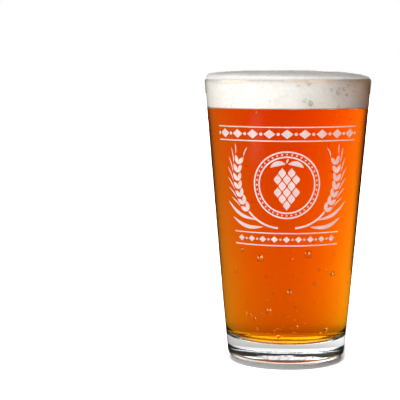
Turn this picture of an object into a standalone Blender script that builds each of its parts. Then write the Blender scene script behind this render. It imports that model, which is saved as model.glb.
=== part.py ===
"""A pint glass full of beer: the glass itself, the beer in it and the foam head on the beer.

Metres, +Z up. The origin is the centre of the foot, on the surface that the glass stands on.
Every piece is turned: half of its section is drawn in the XZ plane and screwed once round Z.
"""

import math

import bpy
from mathutils import Matrix, Vector

# Outside of the glass
GLASS_HEIGHT = 0.1492
RIM_DIAMETER = 0.0889
KNEE_DIAMETER = 0.0686
KNEE_HEIGHT = 0.030
FOOT_DIAMETER = 0.0628
KNEE_RADIUS = 0.400
HEEL_RADIUS = 0.0030

# Inside of the glass: the wall thickens from the rim to a solid base
RIM_WALL = 0.0030
FLOOR_WALL = 0.0056
FLOOR_HEIGHT = 0.0105
FLOOR_RADIUS = 0.006
RIM_ROUNDING = 0.48

# Underside: a ring to stand on round a shallow domed hollow
STANDING_RING_WIDTH = 0.0036
HOLLOW_DEPTH = 0.0018
HOLLOW_CROWN = 0.0006
HOLLOW_RADIUS = 0.0010

# What fills the glass: how far the beer stands below the rim, how far the foam stands above it and how
# full its crown is, and the clearance to the wall and between the two layers
CLEARANCE = 0.0003
HEAD_DEPTH = 0.0152
FOAM_CROWN = 0.0044
FOAM_FULLNESS = 2.5

# How finely round shapes are cut into flats
TURN_STEPS = 72
ARC_STEP = math.radians(13)
CROWN_STEPS = 12
DOME_STEPS = 8

MERGE_DISTANCE = 1e-5

GLASS_COLOUR = (0.93, 0.95, 0.94, 1.0)
BEER_COLOUR = (0.74, 0.19, 0.01, 1.0)
FOAM_COLOUR = (0.93, 0.90, 0.84, 1.0)

# Sizes worked out from those above
RIM_OUTER = RIM_DIAMETER / 2
RIM_INNER = RIM_OUTER - RIM_WALL
KNEE_OUTER = KNEE_DIAMETER / 2
FOOT_OUTER = FOOT_DIAMETER / 2
RIM_RADIUS = RIM_ROUNDING * RIM_WALL
LOWER_SLOPE = (KNEE_OUTER - FOOT_OUTER) / KNEE_HEIGHT
FLOOR_INNER = FOOT_OUTER + LOWER_SLOPE * FLOOR_HEIGHT - FLOOR_WALL
BORE_SLOPE = (RIM_INNER - FLOOR_INNER) / (GLASS_HEIGHT - FLOOR_HEIGHT)
BEER_LEVEL = GLASS_HEIGHT - HEAD_DEPTH


def bore_radius(height):
    """Radius of the inside wall at a height, before the floor's fillet."""
    return FLOOR_INNER + BORE_SLOPE * (height - FLOOR_HEIGHT)


def fill_radius(height):
    """Radius of the beer or foam at a height: a clearance, square to the wall, inside the bore."""
    return bore_radius(height) - CLEARANCE * math.hypot(1, BORE_SLOPE)


def rounded(corners):
    """Profile points through (radius, height, fillet) corners, with an arc for each fillet."""
    points = []
    for i, (radius, height, fillet) in enumerate(corners):
        corner = Vector((radius, height))
        if fillet == 0:
            points.append(corner)
            continue
        to_last = (Vector(corners[i - 1][:2]) - corner).normalized()
        to_next = (Vector(corners[i + 1][:2]) - corner).normalized()
        half_angle = to_last.angle(to_next) / 2
        centre = corner + (to_last + to_next).normalized() * fillet / math.sin(half_angle)
        start = corner + to_last * fillet / math.tan(half_angle) - centre
        turn = math.copysign(math.pi - 2 * half_angle, to_next.cross(to_last))
        steps = max(2, math.ceil(abs(turn) / ARC_STEP))
        for step in range(steps + 1):
            points.append(centre + Matrix.Rotation(turn * step / steps, 2) @ start)
    return points


def glass_profile():
    """From the middle of the inside floor, up the bore, over the rim, down the outside and under the foot."""
    ring_inner = FOOT_OUTER - HEEL_RADIUS - STANDING_RING_WIDTH
    hollow = ring_inner - HOLLOW_DEPTH
    dome = []
    for step in range(1, DOME_STEPS + 1):
        out = 1 - step / DOME_STEPS
        dome.append((hollow * out, HOLLOW_DEPTH + HOLLOW_CROWN * (1 - out**2), 0))
    return rounded(
        [
            (0, FLOOR_HEIGHT, 0),
            (FLOOR_INNER, FLOOR_HEIGHT, FLOOR_RADIUS),
            (RIM_INNER, GLASS_HEIGHT, RIM_RADIUS),
            (RIM_OUTER, GLASS_HEIGHT, RIM_RADIUS),
            (KNEE_OUTER, KNEE_HEIGHT, KNEE_RADIUS),
            (FOOT_OUTER, 0, HEEL_RADIUS),
            (ring_inner, 0, 0),
            (hollow, HOLLOW_DEPTH, HOLLOW_RADIUS),
            *dome,
        ]
    )


def beer_profile():
    """From the middle of the beer's top, out to the wall, down it and along the floor."""
    bottom = FLOOR_HEIGHT + CLEARANCE
    return rounded(
        [
            (0, BEER_LEVEL, 0),
            (fill_radius(BEER_LEVEL), BEER_LEVEL, 0),
            (fill_radius(bottom), bottom, FLOOR_RADIUS - CLEARANCE),
            (0, bottom, 0),
        ]
    )


def foam_profile():
    """From the top of the crown, over its full shoulder to the wall, down the wall and along the beer."""
    shoulder = GLASS_HEIGHT - RIM_RADIUS
    bottom = BEER_LEVEL + CLEARANCE
    radius, rise = fill_radius(shoulder), GLASS_HEIGHT + FOAM_CROWN - shoulder
    points = []
    for step in range(CROWN_STEPS + 1):
        turn = math.pi / 2 * step / CROWN_STEPS
        across = math.sin(turn) ** (2 / FOAM_FULLNESS)
        up = max(math.cos(turn), 0) ** (2 / FOAM_FULLNESS)
        points.append(Vector((radius * across, shoulder + rise * up)))
    points[-1].y = shoulder
    points.append(Vector((fill_radius(bottom), bottom)))
    points.append(Vector((0, bottom)))
    return points


def finish(name, colour, roughness, transmission=0.0, ior=1.45):
    """A Principled material."""
    material = bpy.data.materials.new(name)
    material.use_nodes = True
    shader = material.node_tree.nodes["Principled BSDF"]
    shader.inputs["Base Color"].default_value = colour
    shader.inputs["Roughness"].default_value = roughness
    shader.inputs["Metallic"].default_value = 0.0
    shader.inputs["Transmission Weight"].default_value = transmission
    shader.inputs["IOR"].default_value = ior
    return material


def turned(name, profile, material, collection, parent):
    """An object turned from a profile that starts and ends on the Z axis."""
    mesh = bpy.data.meshes.new(name)
    points = [(radius, 0, height) for radius, height in profile]
    mesh.from_pydata(points, [(i, i + 1) for i in range(len(points) - 1)], [])
    mesh.materials.append(material)
    piece = bpy.data.objects.new(name, mesh)
    collection.objects.link(piece)
    piece.parent = parent
    screw = piece.modifiers.new("turn", "SCREW")
    screw.axis = "Z"
    screw.angle = math.tau
    screw.steps = TURN_STEPS
    screw.render_steps = TURN_STEPS
    screw.use_merge_vertices = True
    screw.merge_threshold = MERGE_DISTANCE
    screw.use_smooth_shade = True
    return piece


def main():
    for old in list(bpy.data.objects):
        bpy.data.objects.remove(old)
    collection = bpy.data.collections.new("pint_glass")
    bpy.context.scene.collection.children.link(collection)
    stand = bpy.data.objects.new("stand_point", None)
    collection.objects.link(stand)
    clear_glass = finish("clear_glass", GLASS_COLOUR, 0.02, transmission=1.0, ior=1.52)
    amber_beer = finish("amber_beer", BEER_COLOUR, 0.0, transmission=1.0, ior=1.34)
    white_foam = finish("white_foam", FOAM_COLOUR, 0.7)
    turned("glass", glass_profile(), clear_glass, collection, stand)
    turned("beer", beer_profile(), amber_beer, collection, stand)
    turned("foam_head", foam_profile(), white_foam, collection, stand)


main()
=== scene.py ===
import math
import random

import bmesh
import bpy
from mathutils import Matrix, Vector, noise


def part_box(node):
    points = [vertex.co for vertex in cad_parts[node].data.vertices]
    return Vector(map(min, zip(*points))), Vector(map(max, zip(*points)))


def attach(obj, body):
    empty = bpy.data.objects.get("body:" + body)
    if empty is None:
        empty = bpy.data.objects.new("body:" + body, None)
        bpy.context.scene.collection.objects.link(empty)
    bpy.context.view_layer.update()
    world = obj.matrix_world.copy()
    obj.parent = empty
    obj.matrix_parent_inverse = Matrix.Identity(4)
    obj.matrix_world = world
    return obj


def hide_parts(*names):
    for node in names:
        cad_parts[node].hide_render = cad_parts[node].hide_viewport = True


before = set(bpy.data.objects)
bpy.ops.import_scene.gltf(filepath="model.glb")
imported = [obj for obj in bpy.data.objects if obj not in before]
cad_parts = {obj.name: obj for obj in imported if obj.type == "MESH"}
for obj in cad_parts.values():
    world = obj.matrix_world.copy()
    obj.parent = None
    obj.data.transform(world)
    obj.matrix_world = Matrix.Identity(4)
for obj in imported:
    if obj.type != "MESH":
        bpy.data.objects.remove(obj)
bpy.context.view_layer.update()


# The glass: one pressed piece of clear soda-lime glass, fire-polished all over. Its wall thickens from a
# rounded drinking rim down to a solid base. A shallow domed hollow underneath leaves a ring to stand on,
# which is scuffed by use.
MM = 0.001
TURN_STEPS = 240
ARC_STEP, LEAST_ARC_STEPS = math.radians(5), 4
LONGEST_RUN = 4 * MM
MERGE_DISTANCE = 1e-6

glass_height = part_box("glass")[1].z
beer_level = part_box("beer")[1].z
RIM_OUTER = 44.45 * MM
RIM_WALL = 3.0 * MM
KNEE_OUTER = 34.3 * MM
KNEE_HEIGHT = 30 * MM
FOOT_OUTER = 31.4 * MM
FLOOR_HEIGHT = 10.5 * MM
FLOOR_INNER = 26.815 * MM
FLOOR_FILLET = 6 * MM
KNEE_FILLET = 400 * MM
HEEL_FILLET = 3 * MM
RIM_FILLET = 0.48 * RIM_WALL
RING_INNER = 24.8 * MM
RING_FILLET = 0.3 * MM
HOLLOW_DEPTH = 1.8 * MM
HOLLOW_FILLET = 1 * MM
HOLLOW_CROWN = 0.6 * MM
FIRST_DOME_STEP, DOME_STEPS = 4, 24
HIDDEN_RISE = 0.6 * MM
CHILL_DEPTH, CHILL_LENGTH = 0.025 * MM, 5 * MM

rim_inner = RIM_OUTER - RIM_WALL
wet_level = beer_level + HIDDEN_RISE
bore_slope = (rim_inner - FLOOR_INNER) / (glass_height - FLOOR_HEIGHT)


def bore_radius(height):
    """Radius of the inside wall at a height."""
    return FLOOR_INNER + bore_slope * (height - FLOOR_HEIGHT)


def wall_radius(height):
    """Radius of the outside wall at a height, above the heel."""
    if height < KNEE_HEIGHT:
        return FOOT_OUTER + (KNEE_OUTER - FOOT_OUTER) * height / KNEE_HEIGHT
    return KNEE_OUTER + (RIM_OUTER - KNEE_OUTER) * (height - KNEE_HEIGHT) / (glass_height - KNEE_HEIGHT)


def rounded(corners):
    """Profile points through (radius, height, fillet) corners, with an arc for each fillet."""
    points = []
    for i, (radius, height, fillet) in enumerate(corners):
        corner = Vector((radius, height))
        if fillet == 0:
            points.append(corner)
            continue
        to_last = (Vector(corners[i - 1][:2]) - corner).normalized()
        to_next = (Vector(corners[i + 1][:2]) - corner).normalized()
        half_angle = to_last.angle(to_next) / 2
        centre = corner + (to_last + to_next).normalized() * fillet / math.sin(half_angle)
        start = corner + to_last * fillet / math.tan(half_angle) - centre
        turn = math.copysign(math.pi - 2 * half_angle, to_next.cross(to_last))
        steps = max(LEAST_ARC_STEPS, math.ceil(abs(turn) / ARC_STEP))
        for step in range(steps + 1):
            points.append(centre + Matrix.Rotation(turn * step / steps, 2) @ start)
    return points


def turned(profile):
    """A closed bmesh turned about Z from (radius, height) points that start and end on the axis."""
    shape = bmesh.new()
    last = None
    for point in profile:
        runs = 1 if last is None else max(1, math.ceil((point - last).length / LONGEST_RUN))
        for run in range(1, runs + 1):
            at = point if last is None else last.lerp(point, run / runs)
            vert = shape.verts.new((at.x, 0, at.y))
            if len(shape.verts) > 1:
                shape.verts.ensure_lookup_table()
                shape.edges.new((shape.verts[-2], vert))
        last = point
    line = shape.verts[:] + shape.edges[:]
    bmesh.ops.spin(shape, geom=line, axis=(0, 0, 1), angle=math.tau, steps=TURN_STEPS, use_merge=True)
    bmesh.ops.remove_doubles(shape, verts=shape.verts, dist=MERGE_DISTANCE)
    bmesh.ops.recalc_face_normals(shape, faces=shape.faces)
    return shape


def placed(name, shape, *materials, soft=True):
    """The bmesh as a piece that rides on the glass, shaded smooth where it is soft."""
    mesh = bpy.data.meshes.new(name)
    shape.to_mesh(mesh)
    shape.free()
    if soft:
        mesh.shade_smooth()
    for material in materials:
        mesh.materials.append(material)
    piece = bpy.data.objects.new(name, mesh)
    bpy.context.scene.collection.objects.link(piece)
    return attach(piece, "root")


class Tap:
    """A shader socket: arithmetic on it adds Math nodes, and add() adds any other node to its tree."""

    def __init__(self, tree, socket=None):
        self.tree = tree
        self.socket = socket

    def add(self, kind, settings=None, inputs=None, out=0):
        node = self.tree.nodes.new("ShaderNode" + kind)
        for name, value in (settings or {}).items():
            if name == "stops":
                for stop, (position, colour) in zip(node.color_ramp.elements, value):
                    stop.position, stop.color = position, colour
            else:
                setattr(node, name, value)
        for name, value in (inputs or {}).items():
            if isinstance(value, Tap):
                self.tree.links.new(value.socket, node.inputs[name])
            else:
                node.inputs[name].default_value = value
        return Tap(self.tree, node.outputs[out])

    def math(self, operation, *values):
        return self.add("Math", {"operation": operation}, dict(enumerate(values)))

    def vector(self, operation, *values, out="Vector"):
        return self.add("VectorMath", {"operation": operation}, dict(enumerate(values)), out)

    def axis(self, name):
        return self.add("SeparateXYZ", inputs={0: self}, out=name)

    def __add__(self, other):
        return self.math("ADD", self, other)

    __radd__ = __add__

    def __sub__(self, other):
        return self.math("SUBTRACT", self, other)

    def __rsub__(self, other):
        return self.math("SUBTRACT", other, self)

    def __mul__(self, other):
        return self.math("MULTIPLY", self, other)

    __rmul__ = __mul__

    def __pow__(self, other):
        return self.math("POWER", self, other)


def finish(name, **sockets):
    """A new material, a Tap on its node tree, and its Principled shader with these constant sockets."""
    material = bpy.data.materials.new(name)
    material.use_nodes = True
    shader = material.node_tree.nodes["Principled BSDF"]
    for socket, value in sockets.items():
        shader.inputs[socket.replace("_", " ")].default_value = value
    return material, Tap(material.node_tree), shader


def feed(tap, node, socket):
    """Links a Tap to a socket of a node."""
    tap.tree.links.new(tap.socket, node.inputs[socket])


def speckle(tap, scale, detail=2):
    """Noise over the space of the object itself."""
    spot = tap.add("TexCoord", out="Object")
    return tap.add("TexNoise", inputs={"Vector": spot, "Scale": scale, "Detail": detail})


def ramp(tap, value, *stops):
    """A colour that runs between two stops, each a position and a colour."""
    return tap.add("ValToRGB", {"stops": stops}, {"Fac": value})


dome_radius = RING_INNER - HOLLOW_DEPTH
dome = []
for step in range(FIRST_DOME_STEP, DOME_STEPS + 1):
    reach = 1 - step / DOME_STEPS
    dome.append((dome_radius * reach, HOLLOW_DEPTH + HOLLOW_CROWN * (1 - reach**2), 0))
glass_shape = turned(
    rounded(
        [
            (0, FLOOR_HEIGHT, 0),
            (FLOOR_INNER, FLOOR_HEIGHT, FLOOR_FILLET),
            (bore_radius(wet_level), wet_level, 0),
            (rim_inner, glass_height, RIM_FILLET),
            (RIM_OUTER, glass_height, RIM_FILLET),
            (KNEE_OUTER, KNEE_HEIGHT, KNEE_FILLET),
            (FOOT_OUTER, 0, HEEL_FILLET),
            (RING_INNER, 0, RING_FILLET),
            (dome_radius, HOLLOW_DEPTH, HOLLOW_FILLET),
            *dome,
        ]
    )
)
for vert in glass_shape.verts:
    if vert.co.z < FLOOR_HEIGHT / 2 and vert.co.xy.length < dome_radius:
        edge_fade = min(1, (dome_radius - vert.co.xy.length) / CHILL_LENGTH)
        vert.co.z += CHILL_DEPTH * edge_fade * noise.noise(vert.co / CHILL_LENGTH)

WETTED, WORN = 1, 2
WALL_MARGIN = 0.3 * MM
WORN_HEIGHT = 0.4 * MM
for face in glass_shape.faces:
    middle = face.calc_center_median()
    inside = middle.xy.length < bore_radius(middle.z) + WALL_MARGIN
    if inside and FLOOR_HEIGHT - WALL_MARGIN < middle.z < wet_level:
        face.material_index = WETTED
    elif middle.z < WORN_HEIGHT:
        face.material_index = WORN

CLEAR, FAINT_GREEN = (1, 1, 1, 1), (0.965, 0.985, 0.975, 1)
NO_MIRRORING = (0, 0, 0, 1)
GLASS = {"Transmission_Weight": 1, "IOR": 1.5}
MELT_SCALE, MELT_DETAIL = 45, 3
MELT_RAMP = ((0.4, CLEAR), (0.75, FAINT_GREEN))
SCUFF_SCALE, SCUFFED, SCUFF_RANGE = 900, 0.25, 0.3
clear_glass, tap, shader = finish("clear_glass", Roughness=0, **GLASS)
melt = speckle(tap, MELT_SCALE, MELT_DETAIL)
feed(ramp(tap, melt, *MELT_RAMP), shader, "Base Color")
wetted_glass = finish("wetted_glass", Base_Color=CLEAR, Roughness=0, Specular_Tint=NO_MIRRORING, **GLASS)[0]
worn_glass, tap, shader = finish("worn_glass", Base_Color=CLEAR, **GLASS)
feed(SCUFFED + SCUFF_RANGE * speckle(tap, SCUFF_SCALE), shader, "Roughness")
glass = placed("pint_glass", glass_shape, clear_glass, wetted_glass, worn_glass)
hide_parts("glass")


# The beer: a clear amber ale. It wets the wall and the floor of the glass, so its skin lies a hair inside
# the glass and only its colour shows, deeper where light has further to go. The foam hides its top.
WETTING = 0.15 * MM
BEER_CORNER = 0.1 * MM
BEER_IOR = 1.34
ABSORPTION, LEFT_OVER = 260, (0.9845, 0.845, 0, 1)

beer_shape = turned(
    rounded(
        [
            (0, wet_level, 0),
            (bore_radius(wet_level) + WETTING, wet_level, BEER_CORNER),
            (FLOOR_INNER + WETTING, FLOOR_HEIGHT - WETTING, FLOOR_FILLET + WETTING),
            (0, FLOOR_HEIGHT - WETTING, 0),
        ]
    )
)
LIQUID = {"Base_Color": CLEAR, "Roughness": 0, "Transmission_Weight": 1}
amber_beer, tap, shader = finish("amber_beer", IOR=BEER_IOR, Specular_Tint=NO_MIRRORING, **LIQUID)
absorption = tap.add("VolumeAbsorption", inputs={"Color": LEFT_OVER, "Density": ABSORPTION})
feed(absorption, amber_beer.node_tree.nodes["Material Output"], "Volume")
beer = placed("beer_fill", beer_shape, amber_beer)
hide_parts("beer")


# The foam head: a thick creamy froth of fine bubbles. It clings to the wall above the beer and its crown
# swells over the rim. Its lower edge is ragged, with a dark brown band of painted shade along it, and its
# underside has a painted glow for the light that soaks through from above.
FOAM_OVERLAP, FOAM_CORNER = 0.2 * MM, 0.1 * MM
FOAM_INSET = 0.3
FOAM_FULLNESS, FOAM_LEAN = 3.0, 1.0
CROWN_STEPS = 60
SWELL_DEPTH, SWELL_LENGTH, SWELL_MIDDLE = 0.55 * MM, 13 * MM, 0.5
LUMP_DEPTH, LUMP_LENGTH = 0.16 * MM, 2.6 * MM
RAGGED_DEPTH, RAGGED_LENGTH = 0.25 * MM, 6 * MM
foam_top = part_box("foam_head")[1].z
foam_rim = RIM_OUTER - FOAM_INSET * RIM_WALL
shoulder = glass_height - RIM_FILLET

foam_profile = []
for step in range(CROWN_STEPS + 1):
    turn = math.pi / 2 * step / CROWN_STEPS
    across = math.sin(turn) ** (2 / FOAM_FULLNESS)
    up = max(math.cos(turn), 0) ** (2 / FOAM_FULLNESS)
    foam_profile.append(Vector((foam_rim * across, glass_height + (foam_top - glass_height) * up)))
foam_profile.append(Vector((foam_rim, glass_height - 2 * FOAM_OVERLAP)))
foam_profile.append(Vector((bore_radius(shoulder) + FOAM_OVERLAP, shoulder)))
foam_edge = bore_radius(beer_level) + FOAM_OVERLAP
for inset, rise in ((0, FOAM_CORNER), (0, 0), (FOAM_CORNER, 0)):
    foam_profile.append(Vector((foam_edge - inset, beer_level + rise)))
foam_profile.append(Vector((0, beer_level)))
foam_shape = turned(foam_profile)


def crown_height(spot):
    """Height of the foam's top over a point: fuller on the left, with low swells and small lumps."""
    across = min(1, spot.xy.length / foam_rim)
    fullness = FOAM_FULLNESS - FOAM_LEAN * spot.x / foam_rim
    rise = (1 - across**fullness) ** (1 / fullness)
    flat = Vector((spot.x, spot.y, 0))
    swell = SWELL_DEPTH * (noise.noise(flat / SWELL_LENGTH) - SWELL_MIDDLE)
    lump = LUMP_DEPTH * noise.noise(flat / LUMP_LENGTH)
    return glass_height + rise * (foam_top - glass_height + swell + lump)


for vert in foam_shape.verts:
    spot = vert.co.copy()
    if spot.z > glass_height:
        vert.co.z = crown_height(spot)
    elif spot.z < beer_level + FOAM_OVERLAP:
        vert.co.z += RAGGED_DEPTH * noise.noise(spot / RAGGED_LENGTH)


def smooth(tap, value, low, high):
    """A smooth step from 0 at low to 1 at high."""
    return tap.add(
        "MapRange",
        {"interpolation_type": "SMOOTHSTEP"},
        {"Value": value, "From Min": low, "From Max": high},
    )


CREAM, SHADED_CREAM = (0.985, 0.975, 0.955, 1), (0.90, 0.86, 0.80, 1)
SHADE_LINE_BROWN, SHADE_LINE_DEPTH = (0.42, 0.10, 0.02, 1), 0.9 * MM
FROTH_CELLS, FINE_CELLS, FROTH_SHARE = 620, 1500, 0.6
FROTH_RAMP = ((0.35, CREAM), (0.95, SHADED_CREAM))
PORE_RAMP = ((0.3, SHADED_CREAM), (0.7, CREAM))
DIMPLE_STRENGTH, DIMPLE_DEPTH = 0.35, 0.3 * MM
MATT = {"Roughness": 0.8, "Specular_IOR_Level": 0.1}
white_foam, tap, shader = finish("white_foam", **MATT)
spot = tap.add("TexCoord", out="Object")
cells = tap.add("TexVoronoi", inputs={"Vector": spot, "Scale": FROTH_CELLS})
fine_cells = tap.add("TexVoronoi", inputs={"Vector": spot, "Scale": FINE_CELLS})
froth = cells * FROTH_SHARE + fine_cells * (1 - FROTH_SHARE)
pale = ramp(tap, froth, *FROTH_RAMP)
# Painted shade: the foam's lowest millimetre is coloured dark brown, for the shaded line where it meets the
# beer.
above_shade_line = smooth(tap, spot.axis("Z"), beer_level - RAGGED_DEPTH, beer_level + SHADE_LINE_DEPTH)
feed(tap.add("MixRGB", inputs={"Fac": above_shade_line, "Color1": SHADE_LINE_BROWN, "Color2": pale}), shader, "Base Color")
bump = {"Height": 1 - froth, "Strength": DIMPLE_STRENGTH, "Distance": DIMPLE_DEPTH}
feed(tap.add("Bump", inputs=bump, out="Normal"), shader, "Normal")

UNDERSIDE, DOWNWARD, HEAD_DEPTH = 1, -0.8, 10 * MM
PAINTED_UNDERSIDE_GLOW = 0.35
for face in foam_shape.faces:
    if face.normal.z < DOWNWARD and face.calc_center_median().z < glass_height - HEAD_DEPTH:
        face.material_index = UNDERSIDE
# Painted light: the underside glows by its own emission, for light that soaks down through the foam.
painted_glow_foam, tap, shader = finish("painted_glow_foam", Emission_Color=CREAM, Emission_Strength=PAINTED_UNDERSIDE_GLOW, **MATT)
pores = speckle(tap, FROTH_CELLS)
feed(ramp(tap, pores, *PORE_RAMP), shader, "Base Color")
foam = placed("foam_head_froth", foam_shape, white_foam, painted_glow_foam)
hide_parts("foam_head")


# The larger bubbles of the froth: thin domes of beer film that stand out of the crown as it settles. They
# are scattered all over it, and most of them are small.
random.seed(7)
FROTH_BUBBLES = 420
SMALLEST_BUBBLE, LARGEST_BUBBLE, SMALL_BIAS = 0.18 * MM, 0.75 * MM, 4
BUBBLE_REACH, BUBBLE_SINK = 0.985, 0.35
ball = bmesh.new()
bmesh.ops.create_icosphere(ball, subdivisions=2, radius=1)
ball.verts.index_update()


def stamp(shape, pattern, place):
    """Adds a copy of a small closed pattern to a shape, with each point put where place() says."""
    verts = [shape.verts.new(place(vert.co)) for vert in pattern.verts]
    for face in pattern.faces:
        shape.faces.new([verts[vert.index] for vert in face.verts])


def bubble(shape, centre, size):
    """Adds a round bubble to a shape."""
    stamp(shape, ball, lambda point: centre + size * point)


froth_shape = bmesh.new()
for _ in range(FROTH_BUBBLES):
    turn = random.uniform(0, math.tau)
    out = foam_rim * BUBBLE_REACH * math.sqrt(random.random())
    spot = Vector((out * math.cos(turn), out * math.sin(turn), 0))
    spot.z = crown_height(spot)
    size = SMALLEST_BUBBLE + (LARGEST_BUBBLE - SMALLEST_BUBBLE) * random.random() ** SMALL_BIAS
    spot.z -= BUBBLE_SINK * size
    bubble(froth_shape, spot, size)
froth_bubbles = placed("froth_bubbles", froth_shape, white_foam)


# The carbonation: small round bubbles of gas that rise in the beer. Most of them are low down and near the
# wall, where they form.
GAS_BUBBLES = 100
SMALLEST_GAS, LARGEST_GAS, SMALL_GAS_BIAS = 0.12 * MM, 0.28 * MM, 3
GAS_MARGIN, LOW_BIAS = 2 * MM, 1.3
INNERMOST_GAS, WALL_BIAS, FILLET_PULL = 0.2, 0.25, 0.75
gas_range = beer_level - FLOOR_HEIGHT - 2 * GAS_MARGIN
gas_shape = bmesh.new()
for _ in range(GAS_BUBBLES):
    turn = random.uniform(0, math.tau)
    height = FLOOR_HEIGHT + GAS_MARGIN + gas_range * random.random() ** LOW_BIAS
    size = SMALLEST_GAS + (LARGEST_GAS - SMALLEST_GAS) * random.random() ** SMALL_GAS_BIAS
    out = (bore_radius(height) - 2 * LARGEST_GAS) * random.uniform(INNERMOST_GAS, 1) ** WALL_BIAS
    if height < FLOOR_HEIGHT + FLOOR_FILLET:
        out *= FILLET_PULL
    bubble(gas_shape, Vector((out * math.cos(turn), out * math.sin(turn), height)), size)
gas = finish("gas", IOR=1 / BEER_IOR, **LIQUID)[0]
placed("carbonation", gas_shape, gas)


# The decoration: an emblem sandblasted into the front of the wall, which leaves it matt and white. A hop
# cone stands in a beaded ring between two ears of barley, with a band of lozenges above and below. It is
# drawn flat, in millimetres round and up the wall, and then wrapped on the wall.
EMBLEM_HEIGHT = 95.5
EMBLEM_RADIUS = wall_radius(EMBLEM_HEIGHT * MM) / MM
FROST_DEPTH, STROKE_MERGE = 0.06, 0.025
FINE_LINE, LINE, STEM_LINE, LEAST_WIDTH = 0.6, 0.8, 1.05, 0.02
etch = bmesh.new()


def stroke(points, widths, closed=False):
    """A strip along flat points, with its width at each point."""
    sides = []
    for i, point in enumerate(points):
        before = points[i - 1] if i or closed else point
        after = points[(i + 1) % len(points)] if i + 1 < len(points) or closed else point
        along = (after - before).normalized()
        half = Vector((-along.y, along.x)) * widths[i] / 2
        sides.append([etch.verts.new((*(point + half), 0)), etch.verts.new((*(point - half), 0))])
    ends = sides[1:] + sides[:1] if closed else sides[1:]
    for (left, right), (next_left, next_right) in zip(sides, ends):
        etch.faces.new((left, right, next_right, next_left))


def leaf(root, tip, width, bend=0, point=0.8, steps=8):
    """A strip that comes to a point at both ends, bowed sideways by bend."""
    across = Vector((root.y - tip.y, tip.x - root.x)).normalized()
    points = []
    widths = []
    for step in range(steps + 1):
        share = step / steps
        bow = math.sin(math.pi * share)
        points.append(root.lerp(tip, share) + across * bend * bow)
        widths.append(max(width * bow**point, LEAST_WIDTH))
    stroke(points, widths)


def polygon(centre, corners):
    """A small flat shape from its corners about a centre."""
    etch.faces.new([etch.verts.new((centre.x + x, centre.y + y, 0)) for x, y in corners])


def polar(radius, turn):
    """A point about the middle of the emblem."""
    return Vector((radius * math.cos(turn), EMBLEM_HEIGHT + radius * math.sin(turn)))


def dot(centre, radius, steps=16):
    """A round dot."""
    turns = [math.tau * i / steps for i in range(steps)]
    polygon(centre, [(radius * math.cos(turn), radius * math.sin(turn)) for turn in turns])


def lozenge(centre, wide, high):
    """A four-cornered diamond, split so that it can follow the wall."""
    for side in (-1, 1):
        polygon(centre, [(0, -high), (side * wide, 0), (0, high)])


RING_OUT, RING_IN, RING_STEPS = 17.0, 14.4, 96
BEAD_RING, BEADS, BEAD_SIZE = 15.7, 40, 0.45
for ring in (RING_OUT, RING_IN):
    round_points = [polar(ring, math.tau * i / RING_STEPS) for i in range(RING_STEPS)]
    stroke(round_points, [LINE] * RING_STEPS, closed=True)
for bead in range(BEADS):
    dot(polar(BEAD_RING, math.tau * bead / BEADS), BEAD_SIZE)

BRACTS_IN_ROW = (2, 3, 2, 3, 2, 1)
BRACT_WIDE, BRACT_HIGH, BRACT_FILL, BRACT_POINT = 4.7, 6.6, 0.8, 1.5
CONE_TOP = 6.2
bract_reach = Vector((0, BRACT_HIGH / 2 * BRACT_FILL))
for row, bracts in enumerate(BRACTS_IN_ROW):
    height = EMBLEM_HEIGHT + CONE_TOP - row * BRACT_HIGH / 2
    for bract in range(bracts):
        middle = Vector(((bract - (bracts - 1) / 2) * BRACT_WIDE, height))
        leaf(middle + bract_reach, middle - bract_reach, BRACT_WIDE * BRACT_FILL, point=BRACT_POINT)
SPRIG_HEIGHT = 10.4
SPRIG = (
    ((-0.6, 0.4), (-8.4, -1.4), 2.6, -1.2),
    ((0.6, 0.4), (8.4, -1.4), 2.6, 1.2),
    ((0, 0.8), (0.9, 3.2), 0.9, 0.3),
)
crown = Vector((0, EMBLEM_HEIGHT + SPRIG_HEIGHT))
for root, tip, width, bend in SPRIG:
    leaf(crown + Vector(root), crown + Vector(tip), width, bend)

GRAIN_LONG, GRAIN_WIDE, GRAIN_GAP, GRAIN_SPREAD = 5.4, 2.3, 0.5, math.radians(27)
GRAIN_PAIRS, FIRST_PAIR, PAIR_STEP = 7, math.radians(-34), math.radians(9)
AWN_LONG, AWN_SHORT, AWN_GAP, AWN_BEND, AWN_SPREAD = 8.5, 5.95, 0.4, 0.4, math.radians(13)
STEM_START, STEM_RADIUS, STEM_FLARE, STEM_STEPS = math.radians(-78), 22.6, 5.2, 16
TANGENT_STEP = 0.01
BLADE_TURN = math.radians(-62)
BLADES = (((1.4, -0.8), (21, 3.5), 2.0, -2.4), ((5.4, 2.6), (24, 11.5), 1.8, -2.2))


def ear_point(side, turn):
    """A point on the curved stem of the ear on one side."""
    point = polar(STEM_RADIUS + STEM_FLARE * (turn - STEM_START) / math.pi * 2, turn)
    return Vector((side * point.x, point.y))


for side in (-1, 1):
    turns = [STEM_START + (FIRST_PAIR - STEM_START) * i / STEM_STEPS for i in range(STEM_STEPS + 1)]
    stroke([ear_point(side, turn) for turn in turns], [STEM_LINE] * len(turns))
    for pair in range(GRAIN_PAIRS):
        turn = FIRST_PAIR + PAIR_STEP * pair
        root = ear_point(side, turn)
        along = (ear_point(side, turn + TANGENT_STEP) - root).normalized()
        top_pair = pair == GRAIN_PAIRS - 1
        for spread in (-1, 1):
            heading = Matrix.Rotation(spread * GRAIN_SPREAD, 2) @ along
            tip = root + heading * GRAIN_LONG
            leaf(root + heading * GRAIN_GAP, tip, GRAIN_WIDE)
            outward = spread * side < 0
            if outward or top_pair:
                awn = Matrix.Rotation(spread * AWN_SPREAD, 2) @ along
                length = AWN_SHORT if top_pair else AWN_LONG
                leaf(tip + awn * AWN_GAP, tip + awn * length, FINE_LINE, bend=-AWN_BEND * spread)
    blade = ear_point(side, BLADE_TURN)
    for root, tip, width, bend in BLADES:
        start, end = Vector((side * root[0], root[1])), Vector((side * tip[0], tip[1]))
        leaf(blade + start, blade + end, width, bend * side)

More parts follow.
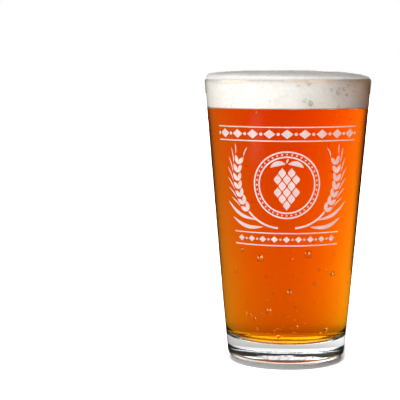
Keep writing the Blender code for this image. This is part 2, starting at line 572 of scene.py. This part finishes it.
LOZENGES, MOST_DOTS, BAND_STEPS = 9, 10, 80
BAND_LINES = ((125.0, 39), (118.0, 39), (70.6, 31), (64.2, 31))
BAND_FILLS = ((121.5, 8.6, (3.0, 2.3), 10, 0.8), (67.4, 6.6, (2.0, 1.6), 8, 0.6))
for height, half_length in BAND_LINES:
    line = [Vector((half_length * (2 * i / BAND_STEPS - 1), height)) for i in range(BAND_STEPS + 1)]
    stroke(line, [FINE_LINE] * len(line))
for place in range(LOZENGES):
    for height, pitch, lozenge_size, dots, dot_size in BAND_FILLS:
        lozenge(Vector(((place - (LOZENGES - 1) / 2) * pitch, height)), *lozenge_size)
for place in range(MOST_DOTS):
    offset = place - (MOST_DOTS - 1) / 2
    for height, pitch, lozenge_size, dots, dot_size in BAND_FILLS:
        if abs(offset) < dots / 2:
            dot(Vector((offset * pitch, height)), dot_size)

bmesh.ops.remove_doubles(etch, verts=etch.verts, dist=STROKE_MERGE)
for face in etch.faces:
    face.normal_update()
    if face.normal.z < 0:
        face.normal_flip()
bmesh.ops.solidify(etch, geom=etch.faces[:], thickness=FROST_DEPTH)
lowest = min(vert.co.z for vert in etch.verts)
for vert in etch.verts:
    turn = vert.co.x / EMBLEM_RADIUS
    height = vert.co.y * MM
    out = wall_radius(height) + (vert.co.z - lowest - FROST_DEPTH / 2) * MM
    vert.co = (out * math.sin(turn), -out * math.cos(turn), height)
bmesh.ops.recalc_face_normals(etch, faces=etch.faces)

FROST, FROST_ROUGHNESS = (0.98, 0.96, 0.94, 1), 0.9
# Painted light: the frosted white has a faint warm emission of its own, so that it reads brighter.
FROST_PAINTED_LIGHT, FROST_PAINTED_GLOW = (1, 0.9, 0.84, 1), 0.16
FROST_GRAIN, FROST_COVER, COVER_RANGE = 5200, 0.33, 0.22
frost_painted_glow = {"Emission_Color": FROST_PAINTED_LIGHT, "Emission_Strength": FROST_PAINTED_GLOW}
frosted, tap, shader = finish("frosted_glass", Base_Color=FROST, Roughness=FROST_ROUGHNESS, **frost_painted_glow)
feed(FROST_COVER + COVER_RANGE * speckle(tap, FROST_GRAIN), shader, "Alpha")
placed("frosted_emblem", etch, frosted, soft=False)


# The condensation: clear drops of water on the cold outside of the wall. Each is a low dome whose flat back
# lies just inside the glass. The larger ones in front are listed by millimetres to the right of the middle,
# millimetres up, and radius. Smaller ones are scattered, clear of the emblem.
FRONT_DROPS = (
    (10.6, 147, 1.2), (25.5, 142.6, 1.4), (31, 146.5, 1.1), (8.6, 138.4, 1.0), (11.7, 137, 1.3),
    (25.7, 135.5, 0.9), (28.6, 144.2, 1.0), (30, 141.4, 0.9), (22.4, 144, 0.8), (5.4, 146.4, 0.9),
    (34, 143, 0.7), (-23, 61, 1.2), (-13.5, 57, 2.0), (11.3, 59.5, 2.2), (24, 48, 1.4),
    (14.6, 43.5, 1.1), (2.2, 39.3, 1.9), (-8.6, 29.4, 1.6), (-20, 26, 0.9), (6, 21, 0.8),
    (21, 18.5, 1.3), (-3.8, 16, 0.9), (16.8, 50.7, 1.0), (-15.5, 24.5, 0.9), (-12, 27, 0.8),
    (-17.8, 26.3, 0.8), (-19.2, 15, 0.8), (-14.7, 19, 0.9), (18.1, 16.9, 0.8), (3, 57, 0.8),
    (4, 48.5, 0.7), (-26, 49, 0.8),
)
BACK_DROPS, BACK_TURNS = 14, (math.radians(100), math.radians(260))
BACK_HEIGHTS, BACK_SIZES = (14, 144), (0.3, 0.55)
SMALL_DROPS, SMALL_TURNS, SMALL_SIZES = 190, (-1, 1), (0.2, 0.5)
FRONT_OR_BACK = (0, 0, 0, math.pi)
LOWEST_DROP, HIGHEST_DROP = 12, 146
EMBLEM_LOW, EMBLEM_HIGH, EMBLEM_HALF_TURN = 62, 128, 1.05
DROP_DOME, BEAD_DOME, LARGE_DROP = 0.75, 0.42, 1
DROP_LENGTH, DROP_SINK, EQUATOR = 1.1, 0.1 * MM, 1e-6
water_shape = bmesh.new()


def round_pattern(around, up):
    """A ball to shape drops from."""
    shape = bmesh.new()
    bmesh.ops.create_uvsphere(shape, u_segments=around, v_segments=up, radius=1)
    shape.verts.index_update()
    return shape


def drop(pattern, turn, height, size, dome):
    """A drop of water on the wall: domed in front, by a share of its radius, and nearly flat behind."""
    outward = Vector((math.sin(turn), -math.cos(turn), 0))
    sideways = Vector((math.cos(turn), math.sin(turn), 0))

    def place(point):
        up = height + size * DROP_LENGTH * point.y
        lift = size * dome * point.z**2 if point.z > EQUATOR else DROP_SINK * point.z
        return outward * (wall_radius(up) + lift) + sideways * size * point.x + Vector((0, 0, up))

    stamp(water_shape, pattern, place)


lens = round_pattern(18, 12)
bead = round_pattern(10, 6)
for across, height, size in FRONT_DROPS:
    dome = BEAD_DOME if size < LARGE_DROP else DROP_DOME
    drop(lens, math.asin(across * MM / wall_radius(height * MM)), height * MM, size * MM, dome)
for _ in range(BACK_DROPS):
    turn = random.uniform(*BACK_TURNS)
    height = random.uniform(*BACK_HEIGHTS)
    drop(lens, turn, height * MM, random.uniform(*BACK_SIZES) * MM, BEAD_DOME)
for _ in range(SMALL_DROPS):
    turn = random.choice(FRONT_OR_BACK) + random.uniform(*SMALL_TURNS)
    height = random.uniform(LOWEST_DROP, HIGHEST_DROP)
    if EMBLEM_LOW < height < EMBLEM_HIGH and abs(turn) < EMBLEM_HALF_TURN:
        height = random.uniform(LOWEST_DROP, EMBLEM_LOW)
    drop(bead, turn, height * MM, random.uniform(*SMALL_SIZES) * MM, BEAD_DOME)
bmesh.ops.recalc_face_normals(water_shape, faces=water_shape.faces)
WATER_IOR = 1.33
GLOSS = {"Coat_Weight": 1, "Coat_IOR": 1.7, "Coat_Roughness": 0}
water = finish("water", IOR=WATER_IOR, **LIQUID, **GLOSS)[0]
placed("condensation", water_shape, water)


# The stage: a plain pale floor that runs out to a white sweep behind the glass, between dark flags at both
# sides. The front is bright too. Seen directly, the floor has a soft shadow painted just in front of the
# foot. Seen through the glass the floor is a glow as bright as the sweep, with painted shade close to the
# foot, and the foam gets a warm glow from it. A pale disc painted on it shows in mirrored rays alone.
STAGE_RADIUS, STAGE_SEGMENTS = 8, 96
FLOOR_DROP = 0.2 * MM
FLOOR_ALBEDO = 0.85
MIRRORED_ALBEDO = 0.015
SEEN_ALBEDO = 7.0
FOOT_SHADE, SHADE_REACH = 0.75, 0.11
SHADE_START, SHADE_FULL = 33 * MM, 45 * MM
NEAR_FLOOR, FAR_FLOOR = 0.6, 0.95
SWEEP_EDGE, SWEEP_FULL, SWEEP_TILT = 0.47, 0.78, 0.05
SWEEP_LEVEL, SWEEP_LEAN, SWEEP_LEFT = 1.05, 0.15, 0.75
FRONT_EDGE, FRONT_FULL = -0.03, 0.1
ROOM = 0.09
STRAY, STRAY_REACH, STRAY_SPREAD = 0.15, 0.3, 4
CONTACT_PLACE = (0, -8 * MM, 0)
CONTACT_RADIUS, CONTACT_EDGE, CONTACT_SHADE = 31.5 * MM, 2.5 * MM, 0.85
CARD_PLACE, CARD_RADIUS, CARD_LEVEL = (-0.44, -0.44, 0), 0.2, 0.55
FOAM_FLOOR = (0.36, 0.16, 0.05, 1)
LEAST_DEPTH, WALL_CROSSINGS = 0.5, 4.5


def ray_kind(tap, name):
    """An output of the Light Path node, as a Tap."""
    return tap.add("LightPath", out=name)


def first_look(tap):
    """One for what is seen directly or through the glass, zero for light on its way to a matt surface."""
    return tap.math("LESS_THAN", ray_kind(tap, "Diffuse Depth"), LEAST_DEPTH)


def turned_back(tap):
    """One for light that has been reflected on its way, and zero for light that came straight through."""
    return tap.math("GREATER_THAN", ray_kind(tap, "Glossy Depth"), LEAST_DEPTH)


def on_foam(tap):
    """One for light on its way to the foam, which has the wall alone to cross, and zero for any other."""
    near_wall = tap.math("LESS_THAN", ray_kind(tap, "Transmission Depth"), WALL_CROSSINGS)
    return ray_kind(tap, "Is Transmission Ray") * near_wall * (1 - first_look(tap))


def looks(tap):
    """One each for what is seen directly, seen through the glass, and seen mirrored in it."""
    seen = ray_kind(tap, "Is Camera Ray")
    through = ray_kind(tap, "Is Transmission Ray") * first_look(tap)
    mirrored = ray_kind(tap, "Is Glossy Ray") * first_look(tap) * (1 - through)
    return seen, through, mirrored


def sweep_light(tap, point, near=0):
    """Brightness of the sweep in the direction of a point, seen from the glass: brighter to the left."""
    heading = tap.vector("NORMALIZE", tap.vector("MULTIPLY", point, (1, 1, 0)))
    to_left = 0 - heading.axis("X")
    behind = heading.axis("Y")
    share = smooth(tap, behind - SWEEP_TILT * to_left, SWEEP_EDGE, SWEEP_FULL)
    share = tap.math("MAXIMUM", share, near)
    front = smooth(tap, 0 - behind, FRONT_EDGE, FRONT_FULL) * (1 - turned_back(tap))
    share = tap.math("MAXIMUM", share, front)
    level = SWEEP_LEVEL + SWEEP_LEAN * to_left + SWEEP_LEFT * tap.math("MAXIMUM", to_left, 0)
    return ROOM + share * (level - ROOM)


floor_shape = bmesh.new()
bmesh.ops.create_circle(floor_shape, cap_ends=True, segments=STAGE_SEGMENTS, radius=STAGE_RADIUS)
bmesh.ops.translate(floor_shape, vec=(0, 0, -FLOOR_DROP), verts=floor_shape.verts)
floor_mesh = bpy.data.meshes.new("floor")
floor_shape.to_mesh(floor_mesh)
floor_shape.free()
pale_floor = bpy.data.materials.new("pale_floor")
pale_floor.use_nodes = True
tap = Tap(pale_floor.node_tree)
spot = tap.add("TexCoord", out="Object")
distance = tap.vector("LENGTH", spot, out="Value")
near = 1 - smooth(tap, distance, NEAR_FLOOR, FAR_FLOOR)
# Painted shade: seen through the glass, the floor is a glow that is dimmed close to the foot.
fade = tap.math("EXPONENT", distance * (-1 / SHADE_REACH))
shade = 1 - FOOT_SHADE * fade * smooth(tap, distance, SHADE_START, SHADE_FULL)
seen, through, mirrored = looks(tap)
# Painted shadow: the floor seen directly is darkened in a soft disc a little in front of the foot.
from_painted_shadow = tap.vector("DISTANCE", spot, CONTACT_PLACE, out="Value")
painted_shadow = 1 - smooth(tap, from_painted_shadow, CONTACT_RADIUS - CONTACT_EDGE, CONTACT_RADIUS + CONTACT_EDGE)
to_foam = on_foam(tap)
albedo = (
    FLOOR_ALBEDO * (1 - seen) * (1 - through) * (1 - mirrored) * (1 - to_foam)
    + SEEN_ALBEDO * seen * (1 - CONTACT_SHADE * painted_shadow)
    + MIRRORED_ALBEDO * mirrored
)
grey = tap.add("CombineColor", inputs={"Red": albedo, "Green": albedo, "Blue": albedo})
matt = tap.add("BsdfDiffuse", inputs={"Color": grey})
# Painted reflection: a pale disc in front on the left glows for mirrored rays alone, a sheen on the glass.
from_card = tap.vector("DISTANCE", spot, CARD_PLACE, out="Value")
painted_reflection = CARD_LEVEL * mirrored * (1 - smooth(tap, from_card, 0, CARD_RADIUS))
aside = tap.math("ABSOLUTE", spot.axis("X"))
close = 1 - smooth(tap, spot.axis("Y") - STRAY_SPREAD * aside, STRAY_REACH / 2, STRAY_REACH)
straight = 1 - (1 - STRAY) * close * turned_back(tap)
floor_light = painted_reflection + through * straight * shade * sweep_light(tap, spot, near)
glow = tap.add("Emission", inputs={"Strength": floor_light})
to_foam_glow = tap.add("Emission", inputs={"Color": FOAM_FLOOR, "Strength": to_foam})
glow = tap.add("AddShader", inputs={0: glow, 1: to_foam_glow})
surface = tap.add("AddShader", inputs={0: matt, 1: glow})
feed(surface, pale_floor.node_tree.nodes["Material Output"], "Surface")
floor_mesh.materials.append(pale_floor)
floor = bpy.data.objects.new("floor", floor_mesh)
bpy.context.scene.collection.objects.link(floor)


# The light: a weak even fill, a broad soft key from the front and a weaker light from the left. Two warm
# glints show in mirrored rays alone. The foam has a key of its own from the left, which turns warm on the
# right. The sweep that is seen through the glass has a dark band and patches where light was turned back.
AMBIENT = 0.06
KEY_LEVEL, KEY_SPREAD = 8.0, 3
KEY_HEADING = Vector((-0.2, -1.0, -0.5)).normalized()
SIDE_LEVEL, SIDE_SPREAD = 1.3, 6
SIDE_HEADING = Vector((-0.85, -0.10, 0.40)).normalized()
FOAM_KEY, FOAM_EDGE, FOAM_FULL = (8.8, 9.7, 9.9), 0.777, 0.857
FOAM_HEADING = Vector((-0.43, -0.90, 0.15)).normalized()
FOAM_SIDE, FOAM_SIDE_SPREAD = (2.0, 2.1, 2.1), 5
FOAM_SIDE_HEADING = Vector((-1.0, 0.2, 0.15)).normalized()
FOAM_FILL = (0.27, 0.08, 0.01)
GLINT_LEVEL, GLINT_COLOUR = 8, (1, 0.52, 0.13)
GLINT_HEADING = Vector((0.45, -0.70, 0.55)).normalized()
LEFT_GLINT_HEADING = Vector((-0.95, -0.12, 0.30)).normalized()
GLINT_EDGE, GLINT_FULL = 0.82, 0.91
LEFT_GLINT_EDGE, LEFT_GLINT_FULL = 0.90, 0.95
BAND_LOW, BAND_HIGH, BAND_EDGE, BAND_DEPTH = 0.172, 0.235, 0.02, 0.95
BAND_SPREAD = 0.36
PATCH_SCALE, PATCH_LOW, PATCH_HIGH, PATCH_DEPTH = 22, 0.45, 0.65, 0.5
PATCH_TOP = 0.35
CEILING_LOW, CEILING_HIGH, CEILING_DEPTH = 0.70, 0.78, 0.85
SHEEN = 1.5
BACKLIGHT_LOW, BACKLIGHT_HIGH, BACKLIGHT = 0.30, 0.36, 4
OVERHEAD_LOW, OVERHEAD_HIGH, OVERHEAD_DEPTH = 0.14, 0.3, 0.7

world = bpy.data.worlds.new("studio")
bpy.context.scene.world = world
world.use_nodes = True
tap = Tap(world.node_tree)
direction = tap.add("TexCoord", out="Generated")


def facing(heading):
    """How squarely a direction points along a heading, from 0 to 1."""
    return tap.math("MAXIMUM", tap.vector("DOT_PRODUCT", direction, heading, out="Value"), 0)


seen, through, mirrored = looks(tap)
transmitted = ray_kind(tap, "Is Transmission Ray")
to_foam = on_foam(tap)
plain = (
    AMBIENT
    + KEY_LEVEL * facing(KEY_HEADING) ** KEY_SPREAD
    + SIDE_LEVEL * facing(SIDE_HEADING) ** SIDE_SPREAD
)
lift = direction.axis("Z")
sideways = direction.axis("X") ** 2
above_low = smooth(tap, lift, BAND_LOW, BAND_LOW + BAND_EDGE)
below_high = 1 - smooth(tap, lift - BAND_SPREAD * sideways, BAND_HIGH, BAND_HIGH + BAND_EDGE)
dark_band = BAND_DEPTH * above_low * below_high * turned_back(tap)
overhead = OVERHEAD_DEPTH * smooth(tap, lift, OVERHEAD_LOW, OVERHEAD_HIGH) * (1 - turned_back(tap))
patchy = tap.add("TexNoise", inputs={"Vector": direction, "Scale": PATCH_SCALE})
low_down = 1 - smooth(tap, lift, PATCH_TOP, PATCH_TOP + BAND_EDGE)
patches = PATCH_DEPTH * smooth(tap, patchy, PATCH_LOW, PATCH_HIGH) * turned_back(tap) * low_down
ceiling = CEILING_DEPTH * smooth(tap, lift, CEILING_LOW, CEILING_HIGH) * turned_back(tap)
sheen = 1 + SHEEN * (1 - low_down) * turned_back(tap)
backlight = BACKLIGHT * smooth(tap, lift, BACKLIGHT_LOW, BACKLIGHT_HIGH) * (1 - turned_back(tap))
sweep = (1 - dark_band) * (1 - overhead) * (1 - patches) * (1 - ceiling) * sheen + backlight
sweep = sweep * sweep_light(tap, direction)
glint = ROOM + GLINT_LEVEL * smooth(tap, facing(GLINT_HEADING), GLINT_EDGE, GLINT_FULL)
glint = glint + GLINT_LEVEL * smooth(tap, facing(LEFT_GLINT_HEADING), LEFT_GLINT_EDGE, LEFT_GLINT_FULL)
grey = (
    plain * (1 - seen) * (1 - transmitted) * (1 - mirrored)
    + seen
    + sweep * through
)
white_light = tap.add("CombineColor", inputs={"Red": grey, "Green": grey, "Blue": grey})
glints = tap.add("VectorMath", {"operation": "SCALE"}, {0: GLINT_COLOUR, "Scale": glint * mirrored})
foam_key = smooth(tap, facing(FOAM_HEADING), FOAM_EDGE, FOAM_FULL)
foam_side = facing(FOAM_SIDE_HEADING) ** FOAM_SIDE_SPREAD
foam_light = tap.vector("MULTIPLY_ADD", foam_side, FOAM_SIDE, FOAM_FILL)
foam_light = tap.vector("MULTIPLY_ADD", foam_key, FOAM_KEY, foam_light)
foam_light = tap.add("VectorMath", {"operation": "SCALE"}, {0: foam_light, "Scale": to_foam})
colour = tap.vector("ADD", tap.vector("ADD", white_light, foam_light), glints)
feed(colour, world.node_tree.nodes["Background"], "Color")


# The camera: a little above the rim and straight in front of the glass. It looks slightly down and to the
# left, so that the glass stands right of the picture's middle.
CAMERA_PLACE = (0, -0.6705, 0.15295)
CAMERA_PITCH = math.radians(90 - 5.887)
CAMERA_YAW = math.radians(4.003)
LENS, SENSOR_WIDTH = 112.16, 36

camera_data = bpy.data.cameras.new("camera")
camera_data.lens = LENS
camera_data.sensor_width = SENSOR_WIDTH
camera = bpy.data.objects.new("camera", camera_data)
camera.location = CAMERA_PLACE
camera.rotation_euler = (CAMERA_PITCH, 0, CAMERA_YAW)
bpy.context.scene.collection.objects.link(camera)
bpy.context.scene.camera = camera
bpy.context.scene.view_settings.view_transform = "Standard"
